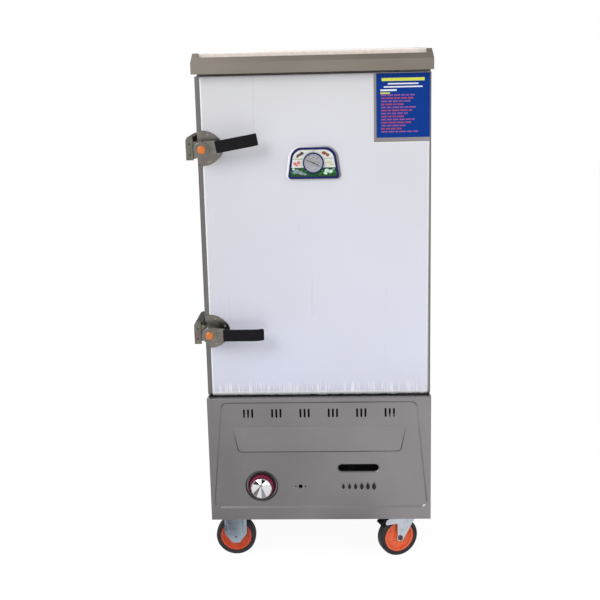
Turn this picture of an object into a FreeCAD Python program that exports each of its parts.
"""Rice steamer cabinet on casters: a parametric document and one STEP file for each sub-part.

Cabinet coordinates, in millimetres: X to the right as seen from the front, Y to the back, Z up.
X is 0 on the centre line, Y is 0 on the door's front face and Z is 0 on the floor. Every
sub-part is then moved by the same two lengths, which bring the origin to the middle of the
whole object's footprint.
"""

import FreeCAD, Part
import math
import os

import Sketcher

Vector = FreeCAD.Vector

SIZES = {
    # overall
    "cabinet_width": 700,
    "cabinet_depth": 620,
    "sheet": 1.2,
    "feather": 0.4,
    # heights, from the floor up
    "wheel_head": 26,
    "panel_drop": 10,
    "base_height": 400,
    "door_gap_below": 6,
    "door_height": 985,
    "door_gap_above": 7,
    "canopy_band": 33,
    "canopy_slope": 27,
    "ear_rise": 12,
    # base section
    "base_forward": 30,
    "panel_lap": 1.5,
    "panel_return": 22,
    "panel_edge_radius": 3,
    "panel_gap": 0.3,
    "side_flange": 15,
    "skin_top_gap": 2,
    "louvre_width": 120,
    "louvre_left": -60,
    "louvre_right": 110,
    "louvre_radius": 4,
    "louvre_rise": 44,
    "louvre_pitch": 30,
    "louvre_rows": 6,
    "frame_bar": 30,
    "frame_bar_wall": 2,
    "burner_rail_drop": 156,
    "gusset_width": 110,
    "gusset_depth": 94,
    "gusset_thick": 4,
    "field_top_half": 303,
    "field_bottom_half": 338,
    "field_top_margin": 18,
    "field_bottom_margin": 46,
    "field_radius": 16,
    "field_depth": 4,
    "field_slope": 5,
    "hood_top_half": 273,
    "hood_bottom_half": 259,
    "hood_drop": 181,
    "hood_height": 86,
    "hood_rise": 8,
    "hood_slope": 6,
    "hood_radius": 15,
    "vent_pitch": 89,
    "vent_drop": 51,
    "vent_slot_width": 6,
    "vent_slot_pitch": 13,
    "vent_slot_height": 29,
    "vent_groups": 6,
    "sight_left": 58,
    "sight_length": 129,
    "sight_height": 24,
    "sight_rise": 164,
    "sight_flange": 7,
    "press_flare": 3,
    "port_x": 62.5,
    "port_rise": 103,
    "port_radius": 6.5,
    "port_screw_radius": 2.3,
    "port_screw_pitch": 30.5,
    # door
    "door_thick": 50,
    "door_sheet": 1,
    "door_edge_radius": 4,
    "gasket_gap": 8,
    "gasket_width": 22,
    "gasket_squeeze": 0.3,
    "gasket_inset": 6,
    "gasket_corner": 14,
    "gasket_rounding": 2.5,
    "plug_depth": 15,
    "plug_gap": 14,
    "pin_inset": 15,
    "pin_radius": 6,
    "pin_length": 29,
    "pin_clearance": 0.05,
    "bracket_thick": 5,
    "bracket_length": 97,
    "bracket_overhang": 4,
    "bracket_corner": 5,
    "film_thick": 0.4,
    "film_left_margin": 13,
    "film_right_margin": 5,
    "film_cut_width": 168,
    "film_cut_height": 203,
    # chamber
    "chamber_half_width": 300,
    "chamber_depth": 512,
    "liner_wall": 1,
    "liner_lip": 20,
    "sill_height": 84,
    "roof_thick": 75,
    "mouth_radius": 12,
    "mouth_lip": 12,
    "lid_depth": 24,
    "tray_levels": 12,
    "tray_pitch": 70,
    "tray_rise": 134,
    "runner_width": 25,
    "runner_height": 15,
    "runner_length": 460,
    "runner_start": 95,
    "upright_width": 25,
    "upright_thick": 4,
    "upright_inset": 43,
    "rack_overrun": 40,
    "tank_wall": 2,
    "tank_height": 80,
    "tank_front": 73,
    "tank_corner": 18,
    "tank_gap": 2,
    "tank_back_gap": 1,
    # canopy
    "canopy_forward": 31,
    "canopy_lip": 5.5,
    "canopy_lean": 6.5,
    "ear_width": 14,
    "fascia_ledge": 17,
    "top_edge_radius": 3,
    # gauge
    "gauge_x": -1.5,
    "gauge_drop": 260,
    "gauge_below": 48,
    "gauge_height": 94,
    "gauge_bottom_half": 78,
    "gauge_top_half": 64,
    "gauge_top_radius": 33,
    "gauge_bottom_radius": 9,
    "gauge_thick": 10,
    "gauge_rim": 5,
    "gauge_rim_step": 1.2,
    "gauge_rounding": 3,
    "dial_radius": 30,
    "dial_ring": 3,
    "dial_projection": 3.5,
    "dial_recess": 2.5,
    "needle_length": 17,
    "needle_tail": 14,
    "needle_root_half": 1.2,
    "needle_tip_half": 0.5,
    "needle_thick": 0.8,
    "needle_lift": 0.5,
    "needle_boss": 3,
    "needle_boss_thick": 1.2,
    "needle_post": 1,
    "needle_post_height": 1.8,
    "needle_angle": 22,
    "probe_radius": 3,
    "probe_tip": 0.5,
    # latches
    "latch_inset": 20,
    "latch_edge_gap": 0.5,
    "latch_drop": 211,
    "latch_rise": 206,
    "latch_upper_lift": 9.6,
    "latch_base_half": 53,
    "latch_base_nose": 58,
    "latch_base_shoulder": 20,
    "latch_base_cheek": 20,
    "latch_shoulder_radius": 66,
    "latch_nose_radius": 40,
    "latch_base_thick": 3,
    "latch_seat_radius": 30,
    "latch_seat": 18,
    "latch_boss_radius": 22,
    "latch_boss": 32,
    "cup_rear_radius": 27,
    "cup_front_radius": 24.5,
    "cup_wall": 3,
    "cup_rear": 22,
    "cup_front": 55,
    "pivot_radius": 6,
    "tongue_reach": 44,
    "tongue_root": 12,
    "tongue_root_half": 24,
    "tongue_tip_half": 17,
    "tongue_flare": 30,
    "tongue_flare_reach": 36,
    "tongue_thick": 4,
    "neck_root": 10,
    "neck_half": 19,
    "neck_root_half": 24,
    "neck_reach": 46,
    "neck_depth": 10,
    "grip_start": 43,
    "grip_end": 168,
    "grip_half": 18,
    "grip_thick": 10,
    "grip_front": 61,
    "grip_bend": 42,
    "grip_bend_angle": 42,
    "grip_knee": 12,
    "grip_rounding": 2.5,
    "cap_radius": 12,
    "cap_height": 5,
    "cap_rim": 2,
    "cap_shoulder": 8,
    "cap_crown": 3,
    # strikes
    "strike_reach": 30,
    "strike_half": 32.5,
    "strike_top": 40,
    "strike_wall": 2,
    "strike_front": 32,
    "strike_plate": 5,
    "strike_plate_width": 22,
    "strike_door_gap": 2,
    "strike_corner": 16,
    "strike_back": 102,
    "strike_foot_gap": 3,
    "screw_radius": 3.4,
    "screw_head": 2.2,
    "screw_rounding": 1.4,
    "base_screw_near": 14,
    "base_screw_high": 39,
    "base_screw_far": 43,
    "base_screw_low": 17,
    "lip_screw_rise": 16,
    # gas knob and valve
    "knob_x": 186.5,
    "knob_rise": 104.6,
    "dish_radius": 49.5,
    "dish_depth": 8,
    "spindle_radius": 4,
    "spindle_hole": 7,
    "spindle_grip": 12,
    "spindle_back": 6,
    "stem_depth": 32,
    "skirt_radius": 38,
    "skirt_rear": 24,
    "skirt_front": 33,
    "skirt_rounding": 2,
    "knob_radius": 33,
    "knob_rim": 48,
    "knob_rim_rounding": 1.5,
    "knob_facet_margin": 1.6,
    "knob_front": 58,
    "knob_facets": 12,
    "knob_peak_rise": 14,
    "knob_peak_radius": 5,
    "knob_socket": 14,
    "valve_radius": 14,
    "valve_length": 52,
    "valve_branch": 9,
    "valve_reach": 29,
    "valve_flange": 5,
    "valve_flange_radius": 22,
    "pipe_radius": 8,
    "pipe_bend": 24,
    "inlet_run": 56,
    "thread_radius": 10.48,
    "thread_length": 22,
    "inlet_reach": 50,
    "jet_reach": 6,
    # burner
    "burner_tubes": 7,
    "burner_pitch": 68,
    "burner_tube_radius": 15,
    "burner_tube_start": 150,
    "burner_tube_length": 330,
    "burner_bar": 6,
    "burner_bar_width": 30,
    "burner_bar_inset": 30,
    "burner_wall": 2.5,
    "manifold_depth": 30,
    "manifold_half": 20,
    "manifold_overhang": 22,
    "manifold_corner": 8,
    "port_slot_start": 22,
    "port_slot_width": 3,
    "port_slot_half": 8,
    "port_slots": 11,
    "port_slot_pitch": 28,
    "mixer_radius": 20,
    "mixer_length": 62,
    "mixer_wall": 4,
    # fittings at the back
    "feed_x": 160,
    "feed_width": 200,
    "feed_depth": 90,
    "feed_rise": 14,
    "feed_height": 140,
    "feed_lid": 15,
    "feed_wall": 1.5,
    "feed_inset": 2,
    "feed_inlet_x": 50,
    "feed_pipe_reach": 12,
    "feed_bar_half": 5,
    "feed_bar_thick": 6,
    "drain_x": 200,
    "drain_rise": 29,
    "drain_pipe_radius": 10,
    "drain_body_radius": 18,
    "drain_thread_radius": 13.2,
    "drain_lever_length": 88,
    "drain_seat": 25,
    "drain_body_length": 40,
    "drain_rounding": 3,
    "drain_stem_radius": 5,
    "drain_stem_reach": 14,
    "drain_lever_lift": 6,
    "drain_lever_half": 7,
    "drain_lever_thick": 4,
    "drain_lever_tail": 12,
    "flue_half_width": 60,
    "flue_height": 56,
    "flue_drop": 106,
    "flue_reach": 38,
    "flue_flange": 12,
    "flue_wall": 1.5,
    "vent_pipe_radius": 13.5,
    "vent_pipe_bore": 12,
    "vent_pipe_below": 50,
    "vent_pipe_reach": 42,
    "vent_pipe_drop": 60,
    "vent_collar_radius": 22.5,
    "vent_collar_thick": 3,
    "hole_clearance": 0.5,
    # casters
    "caster_x": 281,
    "caster_front": 40,
    "caster_rear": 548,
    "plate_length": 105,
    "plate_width": 84,
    "plate_thick": 3,
    "plate_corner": 8,
    "wheel_radius": 65,
    "wheel_width": 32,
    "core_radius": 50,
    "core_width": 28,
    "core_rim": 7,
    "hub_radius": 14,
    "hub_width": 35,
    "web_width": 21,
    "web_rib": 2,
    "web_ribs": 5,
    "web_rib_radius": 15,
    "web_rib_wide": 2,
    "tyre_shoulder": 5,
    "tyre_crown": 0.5,
    "tyre_rounding": 4,
    "axle_radius": 5,
    "axle_clearance": 0.05,
    "axle_nut_radius": 8.5,
    "axle_nut_thick": 4,
    "fork_gap": 38,
    "fork_plate": 3,
    "fork_half_width": 36.5,
    "fork_knee_rise": 12,
    "fork_foot_half": 12,
    "fork_foot_drop": 21,
    "fork_foot_radius": 9,
    "fork_crown": 3,
    "rivet_dimple": 3,
    "rivet_dimple_depth": 3,
    "fork_rib": 12,
    "fork_rib_rise": 4,
    "fork_rib_inset": 2,
    "fork_rib_slope": 3,
    "swivel_trail": 36,
    "swivel_front_yaw": 22,
    "swivel_rear_yaw": -28,
    "race_radius": 30,
    "race_height": 12,
    "race_gap": 0.3,
    "race_wall": 6,
    "crown_height": 6,
    "crown_front": 20,
    "crown_rear": 28,
    "yoke_foot_half": 9,
    "yoke_foot_drop": 11,
    "yoke_foot_radius": 9,
    "yoke_brow": 8,
    "arm_half": 8,
    "arm_bend": 6,
    "arm_nose": 4,
    "pedal_pin_radius": 3,
    "pedal_cheek": 4,
    "tread_thick": 4,
    "arm_beyond": 12,
    "pedal_beyond": 11,
    "pedal_drop": 32,
    "pedal_width": 34,
    "tread_length": 25,
    "tread_drop": 14,
}


class Size:
    """A length or an angle that carries its value and the formula that gives it."""

    def __init__(self, value, formula):
        self.value = float(value)
        self.formula = formula

    @staticmethod
    def of(thing):
        return thing if isinstance(thing, Size) else Size(thing, repr(float(thing)))

    def _with(self, other, sign, value):
        return Size(value, "(%s %s %s)" % (self.formula, sign, other.formula))

    def __add__(self, other):
        other = Size.of(other)
        return self._with(other, "+", self.value + other.value)

    def __radd__(self, other):
        return Size.of(other) + self

    def __sub__(self, other):
        other = Size.of(other)
        return self._with(other, "-", self.value - other.value)

    def __rsub__(self, other):
        return Size.of(other) - self

    def __mul__(self, other):
        other = Size.of(other)
        return self._with(other, "*", self.value * other.value)

    def __rmul__(self, other):
        return Size.of(other) * self

    def __truediv__(self, other):
        other = Size.of(other)
        return self._with(other, "/", self.value / other.value)

    def __neg__(self):
        return Size(-self.value, "(-1 * %s)" % self.formula)

    def cosine(self):
        return Size(math.cos(math.radians(self.value)), "cos(%s)" % self.formula)

    def sine(self):
        return Size(math.sin(math.radians(self.value)), "sin(%s)" % self.formula)


class Sheet:
    """The spreadsheet of driving dimensions, one alias for each."""

    def __init__(self, doc, sizes):
        table = doc.addObject("Spreadsheet::Sheet", "Sizes")
        for row, (name, value) in enumerate(sizes.items(), start=1):
            table.set("A%d" % row, name.replace("_", " "))
            table.set("B%d" % row, str(value))
            table.setAlias("B%d" % row, name)

    def __getattr__(self, name):
        return Size(SIZES[name], "Sizes." + name)


doc = FreeCAD.newDocument("rice_steamer_cabinet")
S = Sheet(doc, SIZES)
doc.recompute()
sub_parts = []

# Places worked out from the driving dimensions

HALF = S.cabinet_width / 2
BACK = S.cabinet_depth
INNER = HALF - S.sheet
BACK_INNER = BACK - 2 * S.sheet
CASTER_HEIGHT = S.wheel_radius * 2 + S.wheel_head
FLOOR_OF_BASE = CASTER_HEIGHT
PANEL_BOTTOM = FLOOR_OF_BASE - S.panel_drop
LEDGE = FLOOR_OF_BASE + S.base_height
DECK = LEDGE - S.sheet
DOOR_BOTTOM = LEDGE + S.door_gap_below
DOOR_TOP = DOOR_BOTTOM + S.door_height
CANOPY_BOTTOM = DOOR_TOP + S.door_gap_above
CANOPY_KINK = CANOPY_BOTTOM + S.canopy_band
TOP = CANOPY_KINK + S.canopy_slope
FASCIA_TOP = TOP - S.ear_rise
FRAME_FACE = S.door_thick + S.gasket_gap
FRAME_BACK = FRAME_FACE + S.sheet
LOUVRE_FIRST = FLOOR_OF_BASE + S.louvre_rise
HOOD_BOTTOM = LEDGE - S.hood_drop
VENT_ROW = LEDGE - S.vent_drop
SIGHT_ROW = FLOOR_OF_BASE + S.sight_rise
PORT_ROW = FLOOR_OF_BASE + S.port_rise
KNOB_ROW = FLOOR_OF_BASE + S.knob_rise
FLUE_BOTTOM = LEDGE - S.flue_drop
FEED_BOTTOM = LEDGE + S.feed_rise
DRAIN_ROW = LEDGE + S.drain_rise
TRAY_FIRST = LEDGE + S.tray_rise
LATCH_LOWER = DOOR_BOTTOM + S.latch_rise
LATCH_UPPER = DOOR_TOP - S.latch_drop
GAUGE_Z = DOOR_TOP - S.gauge_drop
GAUGE_BOTTOM = GAUGE_Z - S.gauge_below
INSULATION_TOP = TOP - S.lid_depth
CHAMBER_TOP = INSULATION_TOP - S.roof_thick
VENT_PIPE_ROW = CHAMBER_TOP - S.vent_pipe_below
FORK_KNEE = S.wheel_radius + S.fork_knee_rise
PEDAL_ROW = CASTER_HEIGHT - S.pedal_drop
PEDAL_PIVOT = S.wheel_radius + S.pedal_beyond
ARM_REACH = PEDAL_PIVOT + S.arm_beyond
PANEL_FACE = -S.base_forward
RETURN_END = PANEL_FACE + S.panel_return
FIELD_FACE = PANEL_FACE + S.field_depth
DISH_FACE = FIELD_FACE + S.dish_depth
LINER_BACK = FRAME_BACK + S.chamber_depth
LINER_OUTSIDE = LINER_BACK + S.liner_wall
SILL = LEDGE + S.sill_height
LATCH_X = -HALF + S.latch_inset
PIN_X = HALF - S.pin_inset
PIN_Y = S.door_thick / 2
KNOB_X = -S.knob_x
RAIL_BOTTOM = LEDGE - S.burner_rail_drop
RAIL_TOP = RAIL_BOTTOM + S.frame_bar
BURNER_BASE = RAIL_TOP + S.burner_bar
BURNER_AXIS = BURNER_BASE + S.burner_tube_radius
FRONT_REACH = S.grip_front
SHIFT_X = (S.strike_reach - S.canopy_lip) / 2
SHIFT_Y = (FRONT_REACH - BACK - S.feed_depth) / 2


# Sketch profiles: each draws itself into a sketch

def fix_point(sketch, geometry, end, x, y):
    """Holds one point of the sketch at X and Y from its origin."""
    for kind, size in (("DistanceX", x), ("DistanceY", y)):
        number = sketch.addConstraint(Sketcher.Constraint(kind, -1, 1, geometry, end, size.value))
        sketch.setExpression("Constraints[%d]" % number, size.formula)


def fix_radius(sketch, geometry, radius):
    """Gives one circle or arc its radius."""
    number = sketch.addConstraint(Sketcher.Constraint("Radius", geometry, radius.value))
    sketch.setExpression("Constraints[%d]" % number, radius.formula)


def circle(x, y, radius):
    """A full circle."""
    x, y, radius = Size.of(x), Size.of(y), Size.of(radius)

    def draw(sketch):
        curve = Part.Circle(Vector(x.value, y.value, 0), Vector(0, 0, 1), radius.value)
        number = sketch.addGeometry(curve, False)
        fix_point(sketch, number, 3, x, y)
        fix_radius(sketch, number, radius)

    return draw


def corner_arc(before, corner, after, radius):
    """The arc that rounds a corner, and the two points where it meets its sides."""
    to_before = (before - corner).normalize()
    to_after = (after - corner).normalize()
    half_angle = to_before.getAngle(to_after) / 2
    run = radius / math.tan(half_angle)
    middle = (to_before + to_after).normalize()
    centre = corner + middle * (radius / math.sin(half_angle))
    start = corner + to_before * run
    end = corner + to_after * run
    return Part.Arc(start, centre - middle * radius, end), start, end


def outline(*corners, closed=True):
    """A run of straight sides through corners (x, y) or, for a rounded one, (x, y, radius)."""
    corners = [tuple(Size.of(part) for part in corner) for corner in corners]
    count = len(corners)

    def draw(sketch):
        points = [Vector(c[0].value, c[1].value, 0) for c in corners]
        inner = range(count) if closed else range(1, count - 1)
        arcs = {}
        for i in inner:
            if len(corners[i]) == 3:
                after = points[(i + 1) % count]
                arcs[i] = corner_arc(points[i - 1], points[i], after, corners[i][2].value)
        sides = []
        for i in range(count if closed else count - 1):
            j = (i + 1) % count
            start = arcs[i][2] if i in arcs else points[i]
            end = arcs[j][1] if j in arcs else points[j]
            sides.append(sketch.addGeometry(Part.LineSegment(start, end), False))
        for i in range(count):
            before = sides[i - 1] if closed or i > 0 else None
            after = sides[i] if i < len(sides) else None
            if i in arcs:
                round_corner(sketch, corners[i], points[i], arcs[i][0], before, after)
            else:
                if before is not None and after is not None:
                    sketch.addConstraint(Sketcher.Constraint("Coincident", before, 2, after, 1))
                if after is not None:
                    fix_point(sketch, after, 1, corners[i][0], corners[i][1])
                else:
                    fix_point(sketch, before, 2, corners[i][0], corners[i][1])

    return draw


def round_corner(sketch, corner, point, arc, before, after):
    """Puts an arc between two sides, whose lines meet at the corner's own point."""
    number = sketch.addGeometry(arc, False)
    mark = sketch.addGeometry(Part.Point(point), True)
    fix_point(sketch, mark, 1, corner[0], corner[1])
    sketch.addConstraint(Sketcher.Constraint("PointOnObject", mark, 1, before))
    sketch.addConstraint(Sketcher.Constraint("PointOnObject", mark, 1, after))
    start = arc_start(sketch, number, before)
    end = 3 - start
    sketch.addConstraint(Sketcher.Constraint("Tangent", before, 2, number, start))
    sketch.addConstraint(Sketcher.Constraint("Tangent", after, 1, number, end))
    fix_radius(sketch, number, corner[2])


def arc_start(sketch, number, before):
    """Which end of an arc, 1 or 2, lies at the end of the side before it."""
    target = sketch.getPoint(before, 2)
    gaps = [(sketch.getPoint(number, end) - target).Length for end in (1, 2)]
    return 1 if gaps[0] < gaps[1] else 2


def rectangle(left, bottom, right, top, radius=None):
    """An upright rectangle, with rounded corners where a radius is given."""
    corners = [(left, bottom), (right, bottom), (right, top), (left, top)]
    if radius is not None:
        corners = [corner + (radius,) for corner in corners]
    return outline(*corners)


def polygon(x, y, radius, sides):
    """A regular polygon inside a circle."""
    turns = [math.radians(360 * i / sides) for i in range(sides)]
    return outline(*[(x + radius * math.cos(turn), y + radius * math.sin(turn)) for turn in turns])


def slot(left, right, middle, radius):
    """A lying slot with round ends, from one extreme to the other."""
    left, right, middle, radius = (Size.of(part) for part in (left, right, middle, radius))
    return obround((left + radius, middle), (right - radius, middle), (Size.of(0), radius), radius)


def upright_slot(middle, bottom, top, radius):
    """A standing slot with round ends."""
    middle, bottom, top, radius = (Size.of(part) for part in (middle, bottom, top, radius))
    return obround((middle, bottom + radius), (middle, top - radius), (-radius, Size.of(0)), radius)


def obround(start, end, side, radius):
    """Two half circles about start and end, joined by two straight sides."""

    def draw(sketch):
        corners = [
            (start[0] - side[0], start[1] - side[1]),
            (end[0] - side[0], end[1] - side[1]),
            (end[0] + side[0], end[1] + side[1]),
            (start[0] + side[0], start[1] + side[1]),
        ]
        points = [Vector(x.value, y.value, 0) for x, y in corners]
        along = Vector(end[0].value - start[0].value, end[1].value - start[1].value, 0).normalize()
        far = Vector(end[0].value, end[1].value, 0) + along * radius.value
        near = Vector(start[0].value, start[1].value, 0) - along * radius.value
        curves = [
            Part.LineSegment(points[0], points[1]),
            Part.Arc(points[1], far, points[2]),
            Part.LineSegment(points[2], points[3]),
            Part.Arc(points[3], near, points[0]),
        ]
        numbers = [sketch.addGeometry(curve, False) for curve in curves]
        for line, first, second in ((numbers[0], 0, 1), (numbers[2], 2, 3)):
            fix_point(sketch, line, 1, *corners[first])
            fix_point(sketch, line, 2, *corners[second])
        for arc, centre in ((numbers[1], end), (numbers[3], start)):
            ends = [(line, tip) for line in (numbers[0], numbers[2]) for tip in (1, 2)]
            for tip in (1, 2):
                place = sketch.getPoint(arc, tip)
                line, meeting = min(ends, key=lambda e: (sketch.getPoint(*e) - place).Length)
                sketch.addConstraint(Sketcher.Constraint("Coincident", arc, tip, line, meeting))
            number = sketch.addConstraint(Sketcher.Constraint("DistanceX", -1, 1, arc, 3, centre[0].value))
            if abs(along.x) > 0.5:
                sketch.setExpression("Constraints[%d]" % number, centre[0].formula)
            else:
                sketch.delConstraint(number)
                number = sketch.addConstraint(
                    Sketcher.Constraint("DistanceY", -1, 1, arc, 3, centre[1].value)
                )
                sketch.setExpression("Constraints[%d]" % number, centre[1].formula)

    return draw


# Features

PLANES = {"XY": ("XY_Plane", 1), "XZ": ("XZ_Plane", -1), "YZ": ("YZ_Plane", 1)}


def bind(thing, prop, size):
    """Sets a property from a size and ties it to the size's formula."""
    size = Size.of(size)
    if "." not in prop:
        setattr(thing, prop, int(size.value) if prop == "Occurrences" else size.value)
    thing.setExpression(prop, size.formula)


class Piece:
    """One PartDesign body, built feature by feature in cabinet coordinates."""

    def __init__(self, label):
        self.body = doc.addObject("PartDesign::Body", label)
        self.body.Label = label
        self.body.AllowCompound = True
        self.count = 0
        self.tip = None

    def name(self, kind):
        self.count += 1
        return "%s_%s_%d" % (self.body.Label, kind, self.count)

    def sketch(self, plane, at, profiles):
        """A sketch parallel to one of the body's planes, at a distance along its axis."""
        role, sign = PLANES[plane]
        base = [o for o in self.body.Origin.OriginFeatures if o.Role == role][0]
        sketch = self.body.newObject("Sketcher::SketchObject", self.name("sketch"))
        sketch.AttachmentSupport = [(base, "")]
        sketch.MapMode = "FlatFace"
        at = Size.of(at) * sign
        bind(sketch, "AttachmentOffset.Base.z", at)
        for draw in profiles:
            draw(sketch)
        return sketch

    def feature(self, kind, sketch=None):
        made = self.body.newObject("PartDesign::" + kind, self.name(kind.lower()))
        if sketch is not None:
            made.Profile = sketch
            sketch.Visibility = False
        self.tip = made
        return made

    def pad(self, plane, at, length, *profiles, taper=None):
        """Adds material from the sketch towards the plane's positive axis."""
        made = self.feature("Pad", self.sketch(plane, at, profiles))
        bind(made, "Length", length)
        made.Reversed = PLANES[plane][1] < 0
        if taper is not None:
            bind(made, "TaperAngle", taper)
        return made

    def pocket(self, plane, at, length, *profiles):
        """Takes material away from the sketch towards the plane's positive axis."""
        before = self.volume()
        made = self.feature("Pocket", self.sketch(plane, at, profiles))
        bind(made, "Length", length)
        made.Reversed = PLANES[plane][1] > 0
        assert self.volume() < before - 0.01, "%s cuts nothing" % made.Name
        return made

    def volume(self):
        doc.recompute()
        return self.body.Shape.Volume

    def revolve(self, plane, axis, profile, kind="Revolution"):
        """Turns a profile a full turn about one axis of its sketch."""
        sketch = self.sketch(plane, 0, [profile])
        made = self.feature(kind, sketch)
        made.ReferenceAxis = (sketch, [axis])
        made.Angle = 360
        return made

    def loft(self, plane, first, second, start, end, kind="AdditiveLoft"):
        """A ruled loft between one profile and another further along the axis."""
        near = self.sketch(plane, first, [start])
        far = self.sketch(plane, second, [end])
        made = self.feature(kind, near)
        made.Sections = [far]
        made.Ruled = True
        far.Visibility = False
        return made

    def polar(self, feature, plane, occurrences):
        """Repeats a feature round the body's axis across the plane."""
        made = self.body.newObject("PartDesign::PolarPattern", self.name("polar"))
        made.Originals = [feature]
        made.Axis = (feature.Profile[0], ["N_Axis"])
        made.Angle = 360
        bind(made, "Occurrences", occurrences)
        self.body.Tip = made
        self.tip = made
        return made

    def linear(self, feature, axis, length, occurrences):
        """Repeats a feature along one axis of its sketch, over a length."""
        made = self.body.newObject("PartDesign::LinearPattern", self.name("linear"))
        made.Originals = [feature]
        made.Direction = (feature.Profile[0], [axis])
        bind(made, "Length", length)
        bind(made, "Occurrences", occurrences)
        self.body.Tip = made
        self.tip = made
        return made

    def round(self, radius, chosen, kind="Fillet"):
        """Rounds or chamfers the edges that the test chooses."""
        doc.recompute()
        edges = self.tip.Shape.Edges
        names = ["Edge%d" % (i + 1) for i, edge in enumerate(edges) if chosen(edge)]
        assert names, "%s has no such edge" % self.body.Label
        tip = self.tip
        made = self.feature(kind)
        made.Base = (tip, names)
        bind(made, "Radius" if kind == "Fillet" else "Size", radius)
        return made

    def put(self, x=0, y=0, z=0, axis=(0, 0, 1), angle=None):
        """Places the finished body and lists it as a sub-part."""
        place(self.body, x, y, z, axis, angle)
        return self.body


def place(thing, x=0, y=0, z=0, axis=(0, 0, 1), angle=None, listed=True):
    """Gives a sub-part its place in the object's own frame."""
    x, y, z = Size.of(x) + SHIFT_X, Size.of(y) + SHIFT_Y, Size.of(z)
    turned = Size.of(0 if angle is None else angle)
    rotation = FreeCAD.Rotation(Vector(*axis), turned.value)
    thing.Placement = FreeCAD.Placement(Vector(x.value, y.value, z.value), rotation)
    bind(thing, "Placement.Base.x", x)
    bind(thing, "Placement.Base.y", y)
    bind(thing, "Placement.Base.z", z)
    if angle is not None:
        bind(thing, "Placement.Rotation.Angle", turned)
    if listed:
        sub_parts.append(thing)


def at_y(y, slack=0.01):
    """Chooses the edges that lie in the plane of one Y."""
    y = Size.of(y).value
    return lambda e: abs(e.BoundBox.YMin - y) < slack and abs(e.BoundBox.YMax - y) < slack


def at_z(z, slack=0.01):
    """Chooses the edges that lie in the plane of one Z."""
    z = Size.of(z).value
    return lambda e: abs(e.BoundBox.ZMin - z) < slack and abs(e.BoundBox.ZMax - z) < slack


def upright_at(x, y, slack=0.01):
    """Chooses the standing edges over one X and Y, each None where it doesn't matter."""
    x = None if x is None else [Size.of(one).value for one in x]
    y = None if y is None else [Size.of(one).value for one in y]

    def chosen(e):
        box = e.BoundBox
        if box.XLength > slack or box.YLength > slack or box.ZLength < slack:
            return False
        near_x = x is None or any(abs(box.XMin - one) < slack for one in x)
        near_y = y is None or any(abs(box.YMin - one) < slack for one in y)
        return near_x and near_y

    return chosen


def block(name, left, right, front, back, bottom, top):
    """A plain block between two places on each axis."""
    made = doc.addObject("Part::Box", name)
    left, front, bottom = Size.of(left), Size.of(front), Size.of(bottom)
    bind(made, "Length", Size.of(right) - left)
    bind(made, "Width", Size.of(back) - front)
    bind(made, "Height", Size.of(top) - bottom)
    made.Placement.Base = Vector(left.value, front.value, bottom.value)
    bind(made, "Placement.Base.x", left)
    bind(made, "Placement.Base.y", front)
    bind(made, "Placement.Base.z", bottom)
    return made


def square_tube(name, axis, low, high):
    """A square tube between two corners, with its length along X, Y or Z."""
    tube = Piece(name)
    wall = S.frame_bar_wall
    plane, first, second, along = {"X": ("YZ", 1, 2, 0), "Y": ("XZ", 0, 2, 1), "Z": ("XY", 0, 1, 2)}[axis]
    outside = rectangle(low[first], low[second], high[first], high[second])
    inside = rectangle(low[first] + wall, low[second] + wall, high[first] - wall, high[second] - wall)
    tube.pad(plane, low[along], high[along] - low[along], outside, inside)
    return tube.body


def cut(label, base, tool):
    """A solid less another."""
    made = doc.addObject("Part::Cut", label)
    made.Label = label
    made.Base = base
    made.Tool = tool
    return made


def grouped(label, shapes):
    """Separate solids that share one node."""
    made = doc.addObject("Part::Compound", label)
    made.Label = label
    made.Links = shapes
    return made


# Base section

def base_frame():
    """Square-tube base frame with corner gussets for the casters and rails for the burner."""
    front, back = FIELD_FACE + S.sheet, BACK_INNER
    bar = S.frame_bar
    bars = []
    levels = {"lower": FLOOR_OF_BASE, "upper": DECK - bar}
    for level, bottom in levels.items():
        for end, start in (("front", front), ("rear", back - bar)):
            name = "frame_%s_%s" % (level, end)
            corners = (-INNER, start, bottom), (INNER, start + bar, bottom + bar)
            bars.append(square_tube(name, "X", *corners))
    levels["burner"] = RAIL_BOTTOM
    for level, bottom in levels.items():
        for side, left in (("left", -INNER), ("right", INNER - bar)):
            name = "frame_%s_%s" % (level, side)
            corners = (left, front + bar, bottom), (left + bar, back - bar, bottom + bar)
            bars.append(square_tube(name, "Y", *corners))
    for side, left in (("left", -INNER), ("right", INNER - bar)):
        for end, start in (("front", front), ("rear", back - bar)):
            name = "frame_post_%s_%s" % (side, end)
            corners = (left, start, FLOOR_OF_BASE + bar), (left + bar, start + bar, DECK - bar)
            bars.append(square_tube(name, "Z", *corners))
    for side, left in (("left", bar - INNER), ("right", INNER - bar - S.gusset_width)):
        right = left + S.gusset_width
        for end, start in (("front", front + bar), ("rear", back - bar - S.gusset_depth)):
            name = "frame_gusset_%s_%s" % (side, end)
            low, high = FLOOR_OF_BASE, FLOOR_OF_BASE + S.gusset_thick
            bars.append(block(name, left, right, start, start + S.gusset_depth, low, high))
    place(grouped("base_frame", bars))


def field_outline(grow):
    """The pressed field of the lower panel, wider by one length all round."""
    grow = Size.of(grow)
    top = LEDGE - S.field_top_margin + grow
    bottom = PANEL_BOTTOM + S.field_bottom_margin - grow
    radius = S.field_radius + grow
    low, high = S.field_bottom_half + grow, S.field_top_half + grow
    return outline((-low, bottom, radius), (low, bottom, radius), (high, top, radius), (-high, top, radius))


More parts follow.
